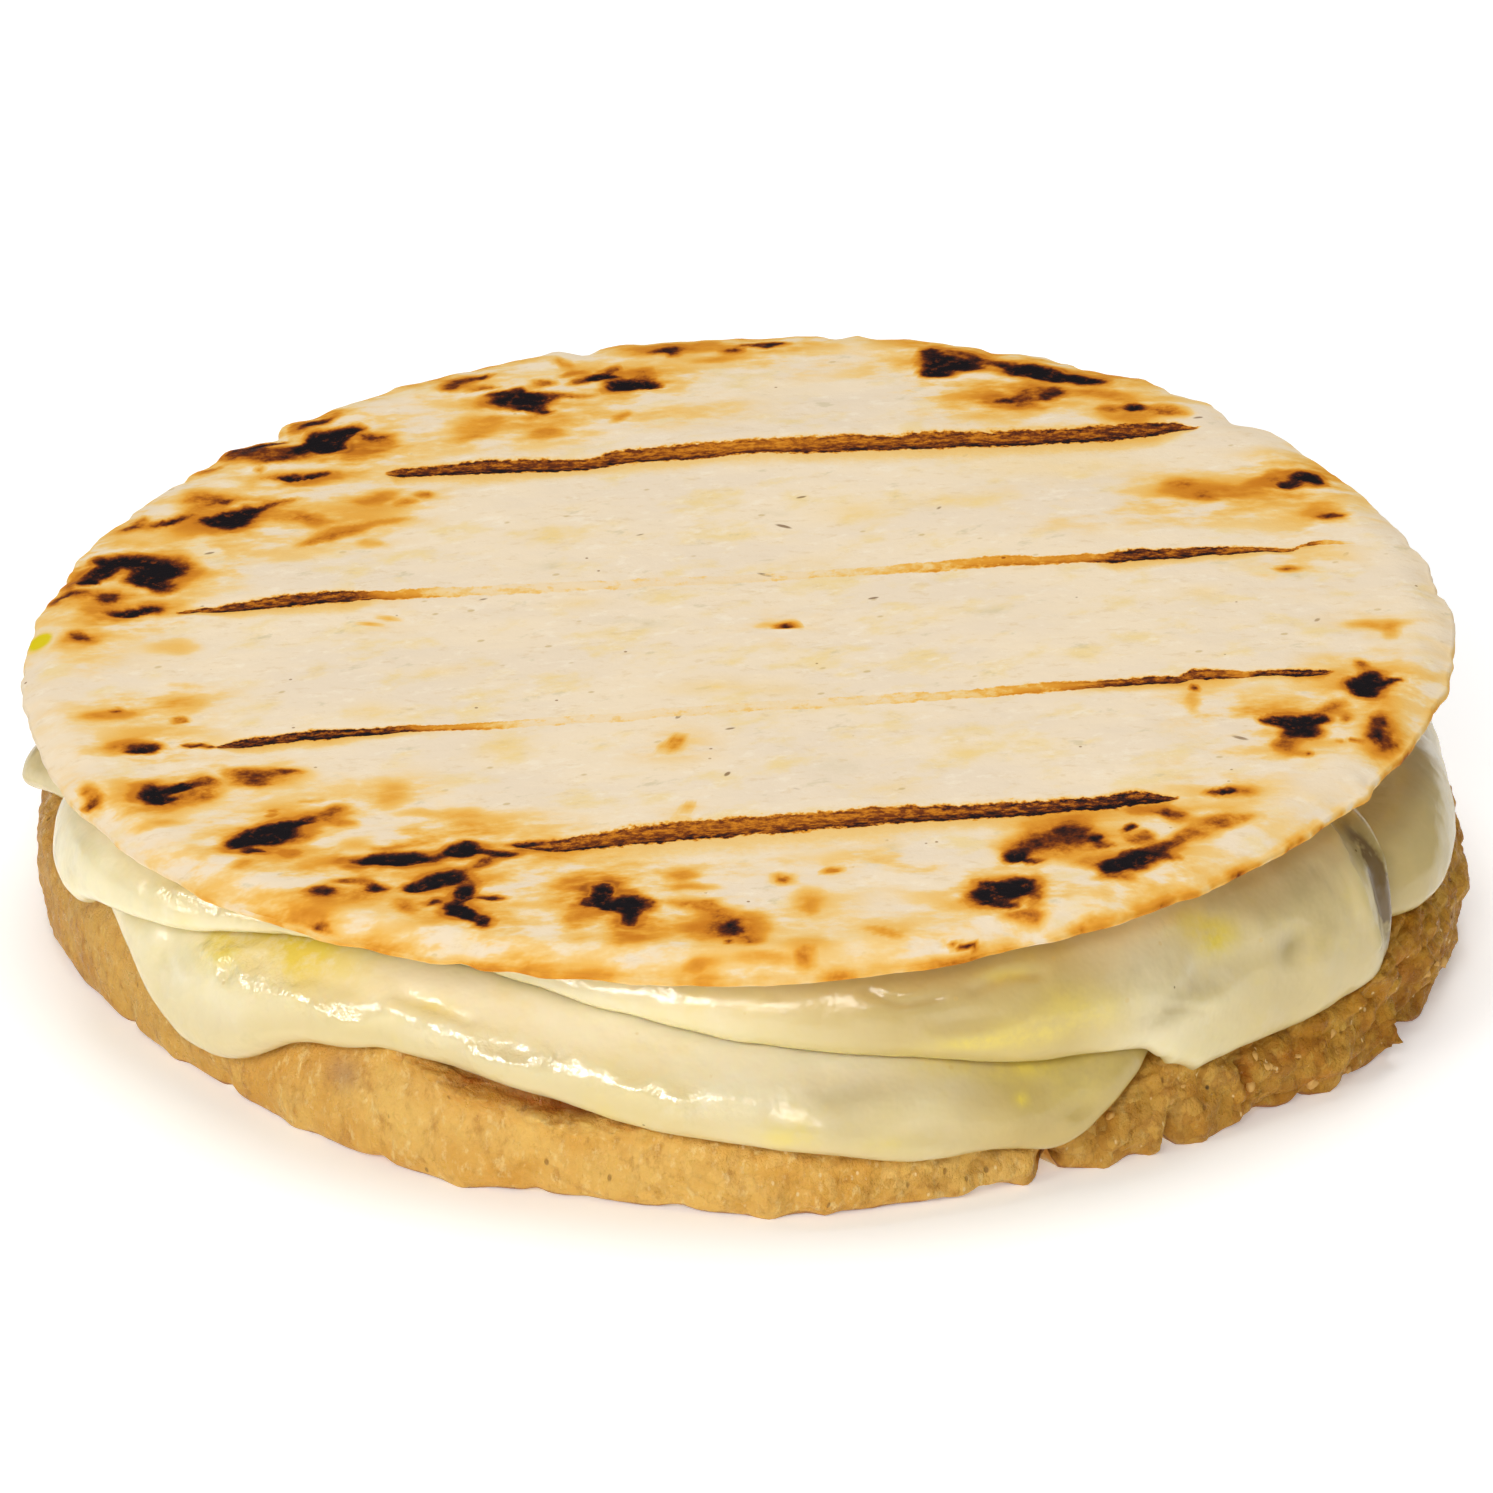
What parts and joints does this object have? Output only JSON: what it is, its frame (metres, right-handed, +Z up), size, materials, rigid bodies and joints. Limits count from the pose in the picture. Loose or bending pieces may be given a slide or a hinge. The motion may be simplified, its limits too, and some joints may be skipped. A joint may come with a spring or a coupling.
{
  "type": "cheese filled grilled corn cake",
  "caption": "Round grilled white corn cake, split flat and filled with soft melted cheese that sags over its edge.",
  "frame": {"origin": "centre of the round, flat underside of the lower half, on the surface the cake rests on", "axes": "+Z up through the layers, +X to the right and -Y to the front, where most of the cheese hangs over the edge"},
  "size_m": [0.1111, 0.1108, 0.0255],
  "materials": {
    "corn_crumb": "moist, grainy cooked corn crumb, golden yellow, matte with small damp glints",
    "melted_cheese": "smooth, glossy, pale cream melted cheese",
    "grilled_crust": "dry off-white corn crust with brown grill lines, charred spots and golden toasting"
  },
  "bodies": {
    "root": {"lower_half": "corn_crumb", "lower_cheese": "melted_cheese", "upper_cheese": "melted_cheese", "upper_half": "grilled_crust"}
  },
  "joints": []
}
